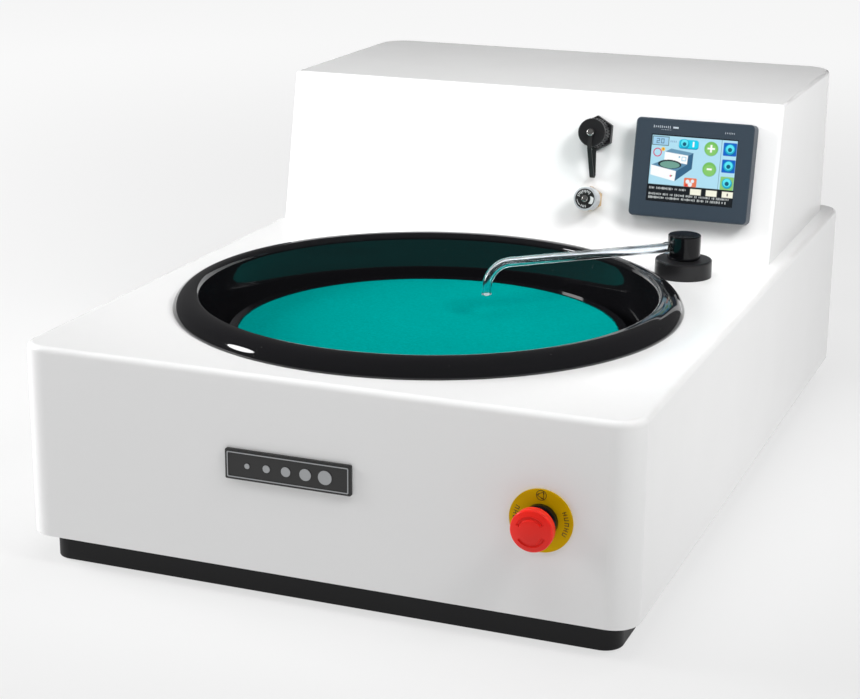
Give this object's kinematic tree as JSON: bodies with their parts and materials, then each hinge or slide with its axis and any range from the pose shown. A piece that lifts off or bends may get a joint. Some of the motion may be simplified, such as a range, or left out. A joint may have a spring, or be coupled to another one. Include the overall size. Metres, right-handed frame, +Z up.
{
  "type": "grinding and polishing machine",
  "caption": "Bench polishing machine: a cloth-faced disc spins in a deep round splash bowl, with a swivelling water spout, a leaning control panel and a mushroom stop button.",
  "frame": {"origin": "on the bench, midway between the sides and between the front and rear of the housing", "axes": "+X to the operator's right, +Y to the rear, +Z up"},
  "size_m": [0.47, 0.7528, 0.3034],
  "materials": {
    "white_shell": "gloss",
    "grey_panel": "satin",
    "black_frame": "satin",
    "zinc_steel": "satin",
    "stainless": "polished",
    "bowl_black": "high gloss",
    "satin_black": "satin",
    "gloss_black": "gloss",
    "cloth": "short napped polishing cloth",
    "platen_aluminium": "machined",
    "cast_grey": "as cast",
    "motor_paint": "satin",
    "rubber_black": "matt",
    "brass": "bright",
    "knob_grey": "satin",
    "dial_black": "printed",
    "clear_tube": "clear",
    "stop_red": "satin gloss",
    "stop_yellow": "satin",
    "panel_slate": "fine texture",
    "screen": "backlit display",
    "plate_black": "satin",
    "plate_trim": "satin",
    "hose_grey": "smooth"
  },
  "bodies": {
    "base": {"base_plinth": "black_frame", "rubber_feet": "rubber_black", "chassis_plate": "zinc_steel", "lower_housing": "white_shell", "rear_hood": "white_shell", "rear_panel": "grey_panel", "rear_panel_screws": "stainless", "bowl": "bowl_black", "bowl_drain_elbow": "satin_black", "drain_hose": "hose_grey", "drain_spigot": "satin_black", "spindle_bridge": "zinc_steel", "bearing_housing": "cast_grey", "bearing_outer_rings": "stainless", "spindle_seal": "rubber_black", "motor_mount": "zinc_steel", "motor_body": "motor_paint", "motor_fan_cowl": "black_frame", "drive_belt": "rubber_black", "inverter_drive": "panel_slate", "power_supply": "zinc_steel", "mains_inlet": "satin_black", "switch_frame": "satin_black", "estop_legend": "stop_yellow", "estop_collar": "gloss_black", "estop_contact_block": "satin_black", "nameplate": "plate_black", "nameplate_trim": "plate_trim", "display_bezel": "panel_slate", "display_screen": "screen", "display_module": "panel_slate", "connector_nut": "satin_black", "connector_body": "satin_black", "valve_nut": "brass", "valve_body": "brass", "spout_base": "satin_black", "panel_nuts": "satin_black", "blanking_plug": "white_shell", "inlet_solenoid": "knob_grey", "water_hoses": "hose_grey"},
    "spindle": {"spindle_shaft": "stainless", "bearing_inner_rings": "stainless", "driven_pulley": "platen_aluminium", "drive_hub": "platen_aluminium"},
    "platen": {"platen": "platen_aluminium", "polishing_cloth": "cloth", "retaining_ring": "gloss_black"},
    "motor_rotor": {"motor_shaft": "stainless", "motor_pulley": "zinc_steel"},
    "spout": {"spout_column": "gloss_black", "spout_tube": "clear_tube"},
    "stop_plunger": {"estop_stem": "satin_black"},
    "stop_head": {"estop_mushroom": "stop_red"},
    "water_knob": {"valve_knob": "knob_grey", "valve_dial": "dial_black", "valve_knob_screw": "stainless"},
    "cap_carrier": {"cap_strap": "rubber_black"},
    "cap": {"connector_cap": "satin_black", "cap_screw": "stainless"},
    "rocker": {"power_rocker": "gloss_black"}
  },
  "joints": [
    {"name": "platen_spin", "type": "hinge", "parent": "base", "child": "spindle", "pos_m": [0, -0.1284, 0.06], "axis": [0, 0, 1], "continuous": true},
    {"name": "motor_spin", "type": "hinge", "parent": "base", "child": "motor_rotor", "pos_m": [-0.07, 0.235, 0.06], "axis": [0, 0, 1], "continuous": true},
    {"name": "platen_lift", "type": "slide", "parent": "spindle", "child": "platen", "axis": [0, 0, 1], "range_m": [0, 0.014]},
    {"name": "spout_swivel", "type": "hinge", "parent": "base", "child": "spout", "pos_m": [0.16264, 0.03424, 0.171], "axis": [0, 0, 1], "range_deg": [-42, 42]},
    {"name": "stop_push", "type": "slide", "parent": "base", "child": "stop_plunger", "axis": [0, 1, 0], "range_m": [0, 0.004], "stiffness_N_per_m": 1500, "springref_m": -0.002},
    {"name": "stop_twist", "type": "hinge", "parent": "stop_plunger", "child": "stop_head", "pos_m": [0.1691, -0.35, 0.0957], "axis": [0, 1, 0], "range_deg": [0, 40], "stiffness_Nm_per_rad": 0.02},
    {"name": "water_knob_turn", "type": "hinge", "parent": "base", "child": "water_knob", "pos_m": [0.0615, 0.1012, 0.21305], "axis": [0, -0.9779, 0.2093], "range_deg": [0, 270]},
    {"name": "cap_pull", "type": "slide", "parent": "base", "child": "cap_carrier", "axis": [0, -0.9779, 0.2093], "range_m": [0, 0.01]},
    {"name": "cap_twist", "type": "hinge", "parent": "cap_carrier", "child": "cap", "pos_m": [0.062, 0.11313, 0.26879], "axis": [0, -0.9779, 0.2093], "range_deg": [0, 90]},
    {"name": "power_switch", "type": "hinge", "parent": "base", "child": "rocker", "pos_m": [0.095, 0.347, 0.07], "axis": [0, 0, 1], "range_deg": [-16, 0]}
  ],
  "couplings": [
    {"joint": "motor_spin", "follows": "platen_spin", "ratio": 2.5}
  ]
}
